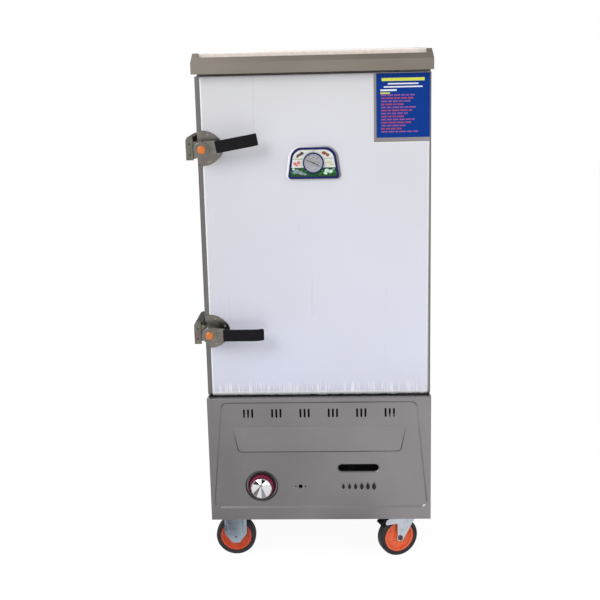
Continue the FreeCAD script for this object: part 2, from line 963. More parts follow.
def base_front_panel():
    """Pressed front panel of the base, with its ledge, vents, sight slot and knob dish."""
    half = HALF + S.panel_lap
    wall = S.sheet
    panel = Piece("base_front_sheet")
    panel.pad("XZ", PANEL_FACE, S.panel_return, rectangle(-half, PANEL_BOTTOM, half, LEDGE))
    panel.round(S.panel_edge_radius, at_y(PANEL_FACE))
    inside = rectangle(-half + wall, PANEL_BOTTOM + wall, half - wall, DECK)
    panel.pocket("XZ", PANEL_FACE + wall, S.panel_return, inside)
    ledge = rectangle(-INNER, RETURN_END, INNER, FRAME_BACK)
    panel.pad("XY", DECK, wall, ledge)
    press_field(panel)
    press_hood(panel, Size.of(0))
    press_recess(panel, dish_outline, S.dish_depth, S.dish_depth)
    panel.pocket("XZ", DISH_FACE, wall, circle(KNOB_X, KNOB_ROW, S.spindle_hole))
    cut_vents(panel)
    press_recess(panel, sight_outline, S.sight_flange, S.sight_flange + wall)
    row, pitch = PORT_ROW, S.port_screw_pitch / 2
    ports = [circle(-S.port_x, row, S.port_radius)]
    ports += [circle(-S.port_x + side * pitch, row, S.port_screw_radius) for side in (-1, 1)]
    panel.pocket("XZ", FIELD_FACE, wall, *ports)
    hollow = Piece("hood_hollow")
    press_hood(hollow, wall)
    place(cut("base_front_panel", panel.body, hollow.body))


def press_field(panel):
    """The field, set back behind the panel's face on sloping sides."""
    back, slope, wall = PANEL_FACE + S.sheet, S.field_slope, S.sheet
    panel.loft("XZ", back, back + S.field_depth, field_outline(wall + slope), field_outline(wall))
    mouth, floor = field_outline(slope), field_outline(0)
    panel.loft("XZ", PANEL_FACE, FIELD_FACE, mouth, floor, kind="SubtractiveLoft")


def hood_outline(shrink):
    """The hood's outline, wider at its top and rounded at its lower corners."""
    low, high = S.hood_bottom_half - shrink, S.hood_top_half - shrink
    bottom, top = HOOD_BOTTOM + shrink, HOOD_BOTTOM + S.hood_height
    radius = S.hood_radius - shrink
    return outline((-low, bottom, radius), (low, bottom, radius), (high, top), (-high, top))


def press_hood(panel, wall):
    """The shallow hood across the field: flush at its top and proud at its lower edge."""
    start, rise = FIELD_FACE + wall, S.hood_rise
    bottom, top = HOOD_BOTTOM, HOOD_BOTTOM + S.hood_height
    panel.loft("XZ", start, start - rise, hood_outline(wall), hood_outline(wall + S.hood_slope))
    feather = S.feather
    before, above = start - rise - S.sheet, top + S.sheet
    wedge = outline(
        (start - rise, bottom),
        (start - feather, top),
        (start - feather, above),
        (before, above),
        (before, bottom),
    )
    panel.pocket("YZ", -S.hood_top_half, S.hood_top_half * 2, wedge)


def dish_outline(grow):
    """The round dish that the gas knob stands in, wider by one length."""
    return circle(KNOB_X, KNOB_ROW, S.dish_radius + grow)


def sight_outline(grow):
    """The long slot through which the flame is watched, wider by one length."""
    left, right = S.sight_left - grow, S.sight_left + S.sight_length + grow
    return slot(left, right, SIGHT_ROW, S.sight_height / 2 + grow)


def press_recess(panel, shape, flange, depth):
    """A recess in the field with a flared rim and a flange behind it."""
    wall, flare = S.sheet, S.press_flare
    back, nothing = FIELD_FACE + wall, Size.of(0)
    panel.loft("XZ", back, back + flare, shape(wall + flare), shape(wall))
    panel.pad("XZ", back, flange, shape(wall))
    rim, throat = shape(flare), shape(nothing)
    panel.loft("XZ", FIELD_FACE, FIELD_FACE + flare, rim, throat, kind="SubtractiveLoft")
    panel.pocket("XZ", FIELD_FACE, depth, shape(nothing))


def cut_vents(panel):
    """Groups of three plain slots that let air in to the burner."""
    run = S.vent_pitch * (S.vent_groups - 1)
    first = -run / 2
    half = S.vent_slot_height / 2
    radius = S.vent_slot_width / 2
    row = VENT_ROW
    slots = [
        upright_slot(first + side * S.vent_slot_pitch, row - half, row + half, radius)
        for side in (-1, 0, 1)
    ]
    group = panel.pocket("XZ", FIELD_FACE, S.sheet, *slots)
    panel.linear(group, "H_Axis", run, S.vent_groups)


def side_panel(side, label):
    """One side sheet, stepped forward over the base, with a flange at the back."""
    panel = Piece(label)
    outer = HALF * side
    left = outer if side < 0 else outer - S.sheet
    front = PANEL_FACE + S.sheet + S.panel_gap
    bottom, top = PANEL_BOTTOM + S.sheet, FASCIA_TOP - S.skin_top_gap
    steps = outline(
        (front, bottom),
        (BACK, bottom),
        (BACK, top),
        (FRAME_BACK, top),
        (FRAME_BACK, LEDGE),
        (RETURN_END, LEDGE),
        (RETURN_END, DECK),
        (front, DECK),
    )
    panel.pad("YZ", left, S.sheet, steps)
    flange = S.side_flange
    low = -INNER if side < 0 else INNER - flange
    edge = rectangle(low, BACK_INNER, low + flange, BACK - S.sheet)
    panel.pad("XY", bottom, top - bottom, edge)
    panel.put()


def pipe_hole(x, z, radius):
    """A round hole with room for a pipe."""
    return circle(x, z, radius + S.hole_clearance)


def back_holes():
    """The holes that the pipes at the back pass through."""
    return [
        pipe_hole(S.feed_x, DRAIN_ROW, S.pipe_radius),
        pipe_hole(-S.drain_x, DRAIN_ROW, S.drain_pipe_radius),
        pipe_hole(0, VENT_PIPE_ROW, S.vent_pipe_radius),
    ]


def back_panel():
    """The back sheet, with louvre slots behind the burner and holes for the fittings."""
    panel = Piece("back_panel")
    sheet = rectangle(-INNER, PANEL_BOTTOM, INNER, FASCIA_TOP - S.skin_top_gap)
    panel.pad("XZ", BACK - S.sheet, S.sheet, sheet)
    wall = S.flue_wall
    half = S.flue_half_width - wall
    flue = rectangle(-half, FLUE_BOTTOM + wall, half, FLUE_BOTTOM + S.flue_height - wall)
    gas = pipe_hole(KNOB_X - S.inlet_run, KNOB_ROW, S.pipe_radius)
    panel.pocket("XZ", BACK - S.sheet, S.sheet, flue, gas, *back_holes())
    slots = [
        slot(left, left + S.louvre_width, LOUVRE_FIRST, S.louvre_radius)
        for left in (S.louvre_left, S.louvre_right)
    ]
    louvre = panel.pocket("XZ", BACK - S.sheet, S.sheet, *slots)
    panel.linear(louvre, "V_Axis", S.louvre_pitch * (S.louvre_rows - 1), S.louvre_rows)
    panel.put()


# Steam chamber

def inner_liner():
    """The chamber's lining, open at the front and over the burner, with a lip for the tank."""
    half, wall = S.chamber_half_width, S.liner_wall
    liner = Piece("inner_liner")
    outside = rectangle(-half - wall, DECK, half + wall, CHAMBER_TOP + wall)
    liner.pad("XZ", FRAME_BACK, S.chamber_depth + wall, outside)
    inside = rectangle(-half, DECK + wall, half, CHAMBER_TOP)
    liner.pocket("XZ", FRAME_BACK, S.chamber_depth, inside)
    lip = S.liner_lip
    fire = rectangle(-half + lip, FRAME_BACK + lip, half - lip, LINER_BACK - lip)
    liner.pocket("XY", DECK, wall, fire)
    liner.pocket("XZ", LINER_BACK, wall, *back_holes())
    liner.put()


def cabinet_insulation():
    """Four insulating slabs: left, right, back and top of the chamber."""
    outside = S.chamber_half_width + S.liner_wall
    roof = CHAMBER_TOP + S.liner_wall
    front, back = FRAME_BACK, BACK_INNER
    left = block("insulation_left", -INNER, -outside, front, back, DECK, INSULATION_TOP)
    right = block("insulation_right", outside, INNER, front, back, DECK, INSULATION_TOP)
    top = block("insulation_top", -outside, outside, front, back, roof, INSULATION_TOP)
    slab = Piece("insulation_back")
    shape = rectangle(-outside, DECK, outside, roof)
    thick = back - LINER_OUTSIDE
    slab.pad("XZ", LINER_OUTSIDE, thick, shape, *back_holes())
    place(grouped("cabinet_insulation", [left, right, top, slab.body]))


def front_frame():
    """The door frame that the gasket seals on, with a lip turned into the chamber."""
    half, top = HALF, INSULATION_TOP
    wall = S.sheet
    mouth_half = S.chamber_half_width - wall
    mouth_top = CHAMBER_TOP - wall
    frame = Piece("front_frame")
    plate = rectangle(-half, LEDGE, half, top)
    lip = rectangle(-mouth_half - wall, SILL - wall, mouth_half + wall, mouth_top + wall)
    mouth = rectangle(-mouth_half, SILL, mouth_half, mouth_top, S.mouth_radius)
    frame.pad("XZ", FRAME_FACE, wall, plate)
    frame.pad("XZ", FRAME_BACK, S.mouth_lip, lip)
    frame.pocket("XZ", FRAME_FACE, wall + S.mouth_lip, mouth)
    frame.put()


def tray_rack(side, label):
    """Two uprights and twelve angle runners of one side's tray rack."""
    wall = S.chamber_half_width * side
    inner = wall - side * S.upright_thick
    left, right = sorted((wall, inner), key=lambda size: size.value)
    low = TRAY_FIRST - S.rack_overrun
    span = S.tray_pitch * (S.tray_levels - 1)
    high = TRAY_FIRST + span + S.runner_height
    strips = []
    near = S.runner_start + S.upright_inset
    far = S.runner_start + S.runner_length - S.upright_inset - S.upright_width
    for end, front in (("front", near), ("rear", far)):
        name = "%s_upright_%s" % (label, end)
        strips.append(block(name, left, right, front, front + S.upright_width, low, high))
    tip = inner - side * S.runner_width
    floor, top = TRAY_FIRST, TRAY_FIRST + S.runner_height
    edge = inner - side * S.sheet
    angle = outline(
        (inner, floor),
        (tip, floor),
        (tip, floor + S.sheet),
        (edge, floor + S.sheet),
        (edge, top),
        (inner, top),
    )
    runners = Piece(label + "_runners")
    runner = runners.pad("XZ", S.runner_start, S.runner_length, angle)
    runners.linear(runner, "V_Axis", span, S.tray_levels)
    place(grouped(label, strips + [runners.body]))


def water_tank():
    """The boiling pan at the foot of the chamber."""
    half = S.chamber_half_width - S.tank_gap
    bottom = DECK + S.liner_wall
    wall = S.tank_wall
    tank = Piece("water_tank")
    front, back = S.tank_front, LINER_BACK - S.tank_back_gap
    tank.pad("XY", bottom, S.tank_height, rectangle(-half, front, half, back, S.tank_corner))
    corner = S.tank_corner - wall
    hollow = rectangle(-half + wall, front + wall, half - wall, back - wall, corner)
    tank.pocket("XY", bottom + wall, S.tank_height, hollow)
    tank.put()


# Canopy

def canopy_rectangle(grow):
    """The canopy's outline in plan, wider by one length all round."""
    side = HALF + S.canopy_lip + grow
    front = -S.canopy_forward - grow
    back = BACK + S.canopy_lip + grow
    return rectangle(-side, front, side, back)


def canopy():
    """The folded hat over the cabinet: an upright band, a sloping band and two ears."""
    wall = S.sheet
    lean = S.canopy_lean
    hat = Piece("canopy")
    hat.pad("XY", CANOPY_BOTTOM, S.canopy_band, canopy_rectangle(0))
    hat.loft("XY", CANOPY_KINK, TOP, canopy_rectangle(0), canopy_rectangle(-lean))
    hat.pocket("XY", CANOPY_BOTTOM, S.canopy_band, canopy_rectangle(-wall))
    start, end = canopy_rectangle(-wall), canopy_rectangle(-wall - lean)
    hat.loft("XY", CANOPY_KINK, TOP - wall, start, end, kind="SubtractiveLoft")
    inner = HALF + S.canopy_lip - lean - S.ear_width
    rear = BACK + S.canopy_lip - lean - S.ear_width
    before = -S.canopy_forward - S.ear_width
    hat.pocket("XY", FASCIA_TOP, S.ear_rise, rectangle(-inner, before, inner, rear))
    ledge_back = S.fascia_ledge - S.canopy_forward
    slope_inside = lean * (S.canopy_slope - S.ear_rise) / S.canopy_slope
    ledge_front = slope_inside - S.canopy_forward
    ledge = rectangle(-inner, ledge_front, inner, ledge_back)
    hat.pad("XY", FASCIA_TOP - wall, wall, ledge)
    skirt_front = lean - S.canopy_forward
    skirts = [
        rectangle(-inner, skirt_front, -inner + wall, rear),
        rectangle(inner - wall, skirt_front, inner, rear),
    ]
    hat.pad("XY", INSULATION_TOP, TOP - INSULATION_TOP, *skirts)
    hat.pad("XY", INSULATION_TOP, TOP - INSULATION_TOP, rectangle(-inner, rear - wall, inner, rear))
    hat.put()


def top_panel():
    """The film-covered lid between the ears."""
    wall = S.sheet
    half = HALF + S.canopy_lip - S.canopy_lean - S.ear_width - wall
    front = S.fascia_ledge - S.canopy_forward
    rear = BACK + S.canopy_lip - S.canopy_lean - S.ear_width - wall
    lid = Piece("top_panel")
    lid.pad("XY", INSULATION_TOP, TOP - INSULATION_TOP, rectangle(-half, front, half, rear))
    lid.round(S.top_edge_radius, at_z(TOP))
    hollow = rectangle(-half + wall, front + wall, half - wall, rear - wall)
    lid.pocket("XY", INSULATION_TOP, TOP - INSULATION_TOP - wall, hollow)
    lid.put()


# Door

def door_outer_skin():
    """The door's outer pan, with rounded edges and holes for the pivot pins."""
    skin = Piece("door_outer_skin")
    wall = S.door_sheet
    skin.pad("XZ", 0, S.door_thick, rectangle(-HALF, DOOR_BOTTOM, HALF, DOOR_TOP))
    skin.round(S.door_edge_radius, upright_at((-HALF, HALF), (0,)))
    inside = rectangle(-HALF + wall, DOOR_BOTTOM + wall, HALF - wall, DOOR_TOP - wall)
    skin.pocket("XZ", S.door_edge_radius, S.door_thick, inside)
    inset = S.door_edge_radius
    middle = rectangle(-HALF + inset, DOOR_BOTTOM + wall, HALF - inset, DOOR_TOP - wall)
    skin.pocket("XZ", wall, S.door_edge_radius, middle)
    pin = circle(PIN_X, PIN_Y, S.pin_radius + S.pin_clearance)
    skin.pocket("XY", DOOR_BOTTOM, S.door_height, pin)
    skin.pocket("XZ", 0, wall, circle(S.gauge_x, GAUGE_Z, S.probe_radius + S.hole_clearance))
    skin.put()


def plug_rectangle(shrink):
    """The raised panel on the door's inside, smaller by one length all round."""
    half = S.chamber_half_width - S.sheet - S.plug_gap - shrink
    bottom = SILL + S.plug_gap + shrink
    top = CHAMBER_TOP - S.sheet - S.plug_gap - shrink
    return rectangle(-half, bottom, half, top)


def door_inner_liner():
    """The door's inner sheet with its raised panel."""
    wall = S.sheet
    gap = S.door_sheet
    liner = Piece("door_inner_liner")
    plate = rectangle(-HALF + gap, DOOR_BOTTOM + gap, HALF - gap, DOOR_TOP - gap)
    liner.pad("XZ", S.door_thick - wall, wall, plate)
    liner.pad("XZ", S.door_thick, S.plug_depth, plug_rectangle(Size.of(0)))
    liner.pocket("XZ", S.door_thick - wall, S.plug_depth, plug_rectangle(wall))
    hole = circle(S.gauge_x, GAUGE_Z, S.probe_radius + S.hole_clearance)
    liner.pocket("XZ", S.door_thick, S.plug_depth, hole)
    liner.put()


def door_insulation():
    """The insulating core that fills the door."""
    wall, inset = S.door_sheet, S.door_edge_radius
    core = Piece("door_insulation")
    bottom, top = DOOR_BOTTOM + wall, DOOR_TOP - wall
    back = S.door_thick - S.sheet
    core.pad("XZ", inset, back - inset, rectangle(-HALF + wall, bottom, HALF - wall, top))
    core.pad("XZ", wall, inset - wall, rectangle(-HALF + inset, bottom, HALF - inset, top))
    core.pad("XZ", back, S.plug_depth, plug_rectangle(S.sheet))
    hole = circle(S.gauge_x, GAUGE_Z, S.probe_radius + S.hole_clearance)
    core.pocket("XZ", 0, S.door_thick + S.plug_depth, hole)
    pin = circle(PIN_X, PIN_Y, S.pin_radius + S.pin_clearance)
    depth = S.pin_length + 1
    core.pocket("XY", bottom, depth, pin)
    core.pocket("XY", top - depth, depth, pin)
    core.put()


def door_gasket():
    """The silicone seal round the door's raised panel."""
    inset = S.gasket_inset
    inner = S.chamber_half_width + inset
    outer = inner + S.gasket_width
    bottom, top = SILL - inset, CHAMBER_TOP + inset
    seal = Piece("door_gasket")
    depth = S.gasket_gap - S.gasket_squeeze
    ring = rectangle(-outer, bottom - S.gasket_width, outer, top + S.gasket_width, S.gasket_corner)
    hollow = rectangle(-inner, bottom, inner, top, inset)
    seal.pad("XZ", S.door_thick, depth, ring, hollow)
    seal.round(S.gasket_rounding, at_y(S.door_thick + depth))
    seal.put()


def gauge_outline(grow):
    """The gauge's rounded trapezium, wider by one length all round."""
    x, grow = S.gauge_x, Size.of(grow)
    bottom = GAUGE_BOTTOM - grow
    top = GAUGE_BOTTOM + S.gauge_height + grow
    low, high = S.gauge_bottom_half + grow, S.gauge_top_half + grow
    foot, head = S.gauge_bottom_radius + grow, S.gauge_top_radius + grow
    return outline(
        (x - low, bottom, foot), (x + low, bottom, foot), (x + high, top, head), (x - high, top, head)
    )


def latch_outline(pivot_z, grow):
    """The latch base's outline: straight on the door's edge and a half oval inwards."""
    grow = Size.of(grow)
    half, cheek = S.latch_base_half + grow, S.latch_base_cheek + grow / 2
    edge = LATCH_X - S.latch_inset + S.latch_edge_gap - grow
    shoulder = LATCH_X + S.latch_base_shoulder + grow / 2
    nose = LATCH_X + S.latch_base_nose + grow
    broad, blunt = S.latch_shoulder_radius, S.latch_nose_radius
    return outline(
        (edge, pivot_z - half),
        (shoulder, pivot_z - half, broad),
        (nose, pivot_z - cheek, blunt),
        (nose, pivot_z + cheek, blunt),
        (shoulder, pivot_z + half, broad),
        (edge, pivot_z + half),
    )


def door_film():
    """The protective film on the door, cut away at a corner, the latches and the gauge."""
    film = Piece("door_film")
    right = HALF - S.film_right_margin
    top = DOOR_TOP - 1
    cut_left, cut_bottom = HALF - 2 - S.film_cut_width, DOOR_TOP - S.film_cut_height
    left = -HALF + S.film_left_margin
    shape = outline(
        (left, DOOR_BOTTOM + 1),
        (right, DOOR_BOTTOM + 1),
        (right, cut_bottom),
        (cut_left, cut_bottom),
        (cut_left, top),
        (left, top),
    )
    film.pad("XZ", -S.film_thick, S.film_thick, shape, gauge_outline(0.5))
    for pivot_z in (LATCH_UPPER, LATCH_LOWER):
        film.pocket("XZ", -S.film_thick, S.film_thick, latch_outline(pivot_z, 1))
    film.put()


def gauge_housing():
    """The moulded surround of the steam gauge."""
    housing = Piece("gauge_housing")
    front = -S.gauge_thick
    housing.pad("XZ", front, S.gauge_thick, gauge_outline(0))
    housing.round(S.gauge_rounding, at_y(front))
    housing.pocket("XZ", front, S.gauge_rim_step, gauge_outline(-S.gauge_rim))
    seat = circle(S.gauge_x, GAUGE_Z, S.dial_radius)
    housing.pocket("XZ", front, S.gauge_thick, seat)
    housing.put()


def gauge_dial():
    """The round gauge: ring, recessed face, needle post and the probe through the door."""
    dial = Piece("gauge_dial")
    x, z = S.gauge_x, GAUGE_Z
    front = -S.gauge_thick - S.dial_projection
    face = front + S.dial_recess
    dial.pad("XZ", front, -front, circle(x, z, S.dial_radius))
    dial.round(1, at_y(front))
    dial.pocket("XZ", front, S.dial_recess, circle(x, z, S.dial_radius - S.dial_ring))
    dial.pad("XZ", face - S.needle_post_height, S.needle_post_height, circle(x, z, S.needle_post))
    reach = S.door_thick + S.plug_depth + S.probe_tip
    dial.pad("XZ", 0, reach, circle(x, z, S.probe_radius))
    dial.put()


def dial_needle():
    """The pointer, on its post."""
    needle = Piece("dial_needle")
    face = -S.gauge_thick - S.dial_projection + S.dial_recess
    tail, length = S.needle_tail, S.needle_length
    root, tip = S.needle_root_half, S.needle_tip_half
    blade = outline((-tail, -root), (length, -tip), (length, tip), (-tail, root))
    thick, boss = S.needle_thick, S.needle_boss_thick
    needle.pad("XZ", face - S.needle_lift - thick, thick, blade)
    front = face - S.needle_lift / 2 - boss
    needle.pad("XZ", front, boss, circle(0, 0, S.needle_boss))
    needle.pocket("XZ", front, boss, circle(0, 0, S.needle_post + S.axle_clearance))
    needle.put(x=S.gauge_x, z=GAUGE_Z, axis=(0, 1, 0), angle=S.needle_angle)


def pivot_brackets():
    """The lower and upper hinge plates with their pins, hidden above and below the door."""
    right = HALF - 2
    left = right - S.bracket_length
    thick = S.bracket_thick
    shape = rectangle(left, -S.bracket_overhang, right, FRAME_FACE, S.bracket_corner)
    pin = circle(PIN_X, PIN_Y, S.pin_radius)
    lower = Piece("pivot_bracket_lower")
    lower.pad("XY", LEDGE, thick, shape)
    lower.pad("XY", LEDGE + thick, S.pin_length, pin)
    lower.round(1, at_z(LEDGE + thick + S.pin_length), kind="Chamfer")
    upper = Piece("pivot_bracket_upper")
    upper.pad("XY", CANOPY_BOTTOM - thick, thick, shape)
    upper.pad("XY", CANOPY_BOTTOM - thick - S.pin_length, S.pin_length, pin)
    upper.round(1, at_z(CANOPY_BOTTOM - thick - S.pin_length), kind="Chamfer")
    place(grouped("pivot_brackets", [lower.body, upper.body]))


# Latches

def latch_base(pivot_z, label):
    """The latch's base plate with its stepped boss and pivot post."""
    base = Piece(label)
    thick = S.latch_base_thick
    base.pad("XZ", -thick, thick, latch_outline(pivot_z, 0))
    base.round(1, at_y(-thick), kind="Chamfer")
    seat, boss = S.latch_seat, S.latch_boss
    base.pad("XZ", -seat, seat - thick, circle(LATCH_X, pivot_z, S.latch_seat_radius - 0.5))
    base.pad("XZ", -boss, boss - seat, circle(LATCH_X, pivot_z, S.latch_boss_radius))
    base.round(2, at_y(-boss))
    post = S.cup_front - 0.5
    base.pad("XZ", -post, post - boss, circle(LATCH_X, pivot_z, S.pivot_radius))
    base.put()


def latch_lever(label, pivot_z, lift):
    """The pressed lever: a tapered cup over the boss, a tongue for the strike and a neck."""
    lever = Piece(label)
    rear, front, wall = S.cup_rear, S.cup_front, S.cup_wall
    bore = S.pivot_radius + S.axle_clearance
    shell = outline(
        (S.cup_rear_radius, -rear),
        (S.cup_front_radius, -front),
        (bore, -front),
        (bore, wall - front + 1),
        (S.cup_front_radius - wall, wall - front + 1),
        (S.cup_rear_radius - wall, -rear),
    )
    lever.revolve("XY", "V_Axis", shell)
    lever.round(2, at_y(-front))
    root, broad, tip = -S.tongue_root, S.tongue_root_half, -S.tongue_reach
    flare, blunt = -S.tongue_flare_reach, S.tongue_tip_half
    tongue = outline(
        (tip, -blunt), (flare, -broad), (root, -broad), (root, broad), (flare, S.tongue_flare), (tip, blunt)
    )
    lever.pad("XZ", -rear - S.tongue_thick, S.tongue_thick, tongue)
    clear = circle(0, 0, S.cup_rear_radius - wall)
    lever.pocket("XZ", -rear - S.tongue_thick, S.tongue_thick, clear)
    half, reach = S.neck_half, S.neck_reach
    root, broad = S.neck_root, S.neck_root_half
    neck = outline((root, -broad), (reach, -half), (reach, half), (root, broad))
    lever.pad("XZ", -front + 1, S.neck_depth, neck)
    inner = rectangle(S.cup_front_radius + 1, wall - half, reach, half - wall)
    lever.pocket("XZ", wall + 1 - front, S.neck_depth, inner)
    lever.put(x=LATCH_X, z=pivot_z, axis=(0, -1, 0), angle=lift)


def latch_grip(label, pivot_z, lift):
    """The moulded grip, arched back towards the door at its far end."""
    grip = Piece(label)
    front, thick = -S.grip_front, S.grip_thick
    end, start = S.grip_end, S.grip_start
    bend = S.grip_bend
    turn = S.grip_bend_angle
    knee = end - bend * turn.sine()
    drop = bend - bend * turn.cosine()
    inner_end = end - thick * turn.sine()
    profile = outline(
        (start, front),
        (knee + S.grip_knee, front, bend),
        (end, front + drop),
        (inner_end, front + drop + thick * turn.cosine()),
        (knee + S.grip_knee - thick / 3, front + thick, bend - thick),
        (start, front + thick),
    )
    grip.pad("XY", -S.grip_half, S.grip_half * 2, profile)
    grip.round(S.grip_rounding, lambda e: e.BoundBox.ZLength < 0.01)
    reach, half = S.neck_reach, S.neck_half + 1
    socket = rectangle(start, -half, reach, half)
    grip.pocket("XZ", 1 - S.cup_front - 0.01, S.neck_depth + 1, socket)
    grip.put(x=LATCH_X, z=pivot_z, axis=(0, -1, 0), angle=lift)


def latch_cap(label, pivot_z, lift):
    """The domed cap over the latch's pivot."""
    cap = Piece(label)
    seat = -S.cup_front
    radius, rim, height = S.cap_radius, S.cap_rim, S.cap_height
    profile = outline(
        (0, seat),
        (radius, seat),
        (radius, seat - rim),
        (S.cap_shoulder, seat - height + S.latch_edge_gap),
        (S.cap_crown, seat - height),
        (0, seat - height),
    )
    cap.revolve("XY", "V_Axis", profile)
    cap.put(x=LATCH_X, z=pivot_z, axis=(0, -1, 0), angle=lift)


def strike(pivot_z, label):
    """The keeper on the cabinet's side: a folded hood with a front lip for the tongue."""
    keeper = Piece(label)
    half, wall = S.strike_half, S.strike_wall
    outer = -HALF - S.strike_reach
    inner = -HALF - S.strike_door_gap
    corner = S.strike_corner
    bottom, top = pivot_z - half, pivot_z + S.strike_top
    hood = outline(
        (outer, bottom),
        (outer + wall, bottom),
        (outer + wall, top - wall, corner - wall),
        (inner, top - wall),
        (inner, top),
        (outer, top, corner),
    )
    lip_back = S.strike_plate - S.strike_front
    keeper.pad("XZ", lip_back, S.strike_back - lip_back, hood)
    lip_right = outer + S.strike_plate_width
    lip = outline((outer, bottom), (lip_right, bottom), (lip_right, top), (outer, top, corner))
    keeper.pad("XZ", -S.strike_front, S.strike_plate, lip)
    keeper.round(1, at_y(-S.strike_front))
    web = outline((outer, bottom), (inner, bottom), (inner, top), (outer, top, corner))
    keeper.pad("XZ", S.strike_back - wall, wall, web)
    foot = rectangle(FRAME_BACK + S.strike_foot_gap, bottom, S.strike_back, top)
    keeper.pad("YZ", inner, S.strike_door_gap, foot)
    keeper.put()


def screw_heads(label, plane, groups):
    """Pan-head screws in one node: each group is a seat and the points on it."""
    heads = []
    for number, (seat, points) in enumerate(groups):
        piece = Piece("%s_%d" % (label, number))
        circles = [circle(x, z, S.screw_radius) for x, z in points]
        piece.pad(plane, seat - S.screw_head, S.screw_head, *circles)
        piece.round(S.screw_rounding, at_y(seat - S.screw_head))
        heads.append(piece.body)
    place(grouped(label, heads))


def latch_screws():
    """The screws that hold the two latch bases."""
    points = []
    near, far = LATCH_X + S.base_screw_near, LATCH_X + S.base_screw_far
    high, low = S.base_screw_high, S.base_screw_low
    for pivot_z in (LATCH_UPPER, LATCH_LOWER):
        for side in (-1, 1):
            points += [(near, pivot_z + side * high), (far, pivot_z + side * low)]
    screw_heads("latch_screws", "XZ", [(-S.latch_base_thick, points)])


def strike_screws():
    """The screws in the strikes' front lips."""
    points = []
    middle = -HALF - S.strike_reach + S.strike_plate_width / 2
    for pivot_z in (LATCH_UPPER, LATCH_LOWER):
        points += [(middle, pivot_z + S.lip_screw_rise), (middle, pivot_z - S.lip_screw_rise)]
    screw_heads("strike_screws", "XZ", [(-S.strike_front, points)])


# Gas train

def knob_skirt():
    """The coloured skirt behind the gas knob."""
    skirt = Piece("knob_skirt")
    depth = S.skirt_front - S.skirt_rear
    bore = circle(0, 0, S.spindle_radius + S.axle_clearance)
    skirt.pad("XZ", -S.skirt_front, depth, circle(0, 0, S.skirt_radius), bore)
    rim = S.skirt_radius.value
    skirt.round(S.skirt_rounding, lambda e: at_y(-S.skirt_front)(e) and e.BoundBox.XLength > rim)
    skirt.put(x=KNOB_X, z=KNOB_ROW)


def gas_knob():
    """The plated gas knob: a round body whose front fans out in facets from a raised point."""
    knob = Piece("gas_knob")
    rear, rim, front = -S.skirt_front, -S.knob_rim, -S.knob_front
    radius = S.knob_radius
    bore = S.spindle_radius + S.axle_clearance
    socket = rear - S.knob_socket
    profile = outline(
        (bore, rear),
        (radius - 1, rear),
        (radius, rear - 2),
        (radius, rim, S.knob_rim_rounding),
        (0, rim),
        (0, socket),
        (bore, socket),
    )
    knob.revolve("XY", "V_Axis", profile)
    facets = int(S.knob_facets.value)
    foot = polygon(Size.of(0), Size.of(0), radius - S.knob_facet_margin, facets)
    peak = polygon(Size.of(0), S.knob_peak_rise, S.knob_peak_radius, facets)
    knob.loft("XZ", rim, front, foot, peak)
    knob.put(x=KNOB_X, z=KNOB_ROW)


def valve_spindle():
    """The spindle between the gas valve and its knob."""
    spindle = Piece("valve_spindle")
    start = -S.skirt_front - S.spindle_grip
    spindle.pad("XZ", start, S.spindle_back - start, circle(0, 0, S.spindle_radius))
    spindle.put(x=KNOB_X, z=KNOB_ROW)


def gas_valve():
    """The brass gas cock behind the panel, with its inlet and outlet branches."""
    valve = Piece("gas_valve")
    start = DISH_FACE + S.sheet
    x, row = KNOB_X, KNOB_ROW
    reach = S.valve_reach
    branch = S.valve_branch
    middle = start + S.valve_length / 2
    valve.pad("XZ", start, S.valve_length, circle(x, row, S.valve_radius))
    valve.pad("XZ", start, S.valve_flange, circle(x, row, S.valve_flange_radius))
    valve.pad("YZ", x - reach, reach, circle(middle, row, branch))
    valve.pad("XY", row, reach, circle(x, middle, branch))
    valve.pocket("XZ", start, S.stem_depth, circle(x, row, S.spindle_radius + S.axle_clearance))
    valve.put()


def pipe_body(label, plane, at, path, profile_plane, profile_at, radii, centre):
    """A bent pipe along a path of straight runs and bends."""
    pipe = Piece(label)
    spine = pipe.sketch(plane, at, [outline(*path, closed=False)])
    ends = [circle(centre[0], centre[1], radius) for radius in radii]
    profile = pipe.sketch(profile_plane, profile_at, ends)
    made = pipe.feature("AdditivePipe", profile)
    made.Spine = (spine, [])
    spine.Visibility = False
    return pipe


def gas_pipe():
    """The inlet run from the back to the valve and the riser from the valve to the burner."""
    middle = DISH_FACE + S.sheet + S.valve_length / 2
    reach = S.valve_reach
    row, x = KNOB_ROW, KNOB_X
    bend, radius = S.pipe_bend, S.pipe_radius
    corner = x - S.inlet_run
    end = BACK + S.inlet_reach
    inlet = pipe_body(
        "gas_pipe_inlet", "XY", row,
        [(x - reach, middle), (corner, middle, bend), (corner, end)],
        "YZ", x - reach, [radius], (middle, row),
    )
    thread = S.thread_length
    inlet.pad("XZ", end - thread, thread, circle(corner, row, S.thread_radius))
    mouth = S.burner_tube_start - S.manifold_depth - S.mixer_length
    riser = pipe_body(
        "gas_pipe_riser", "YZ", x,
        [(middle, row + reach), (middle, BURNER_AXIS, bend), (mouth + S.jet_reach, BURNER_AXIS)],
        "XY", row + reach, [radius], (x, middle),
    )
    place(grouped("gas_pipe", [inlet.body, riser.body]))


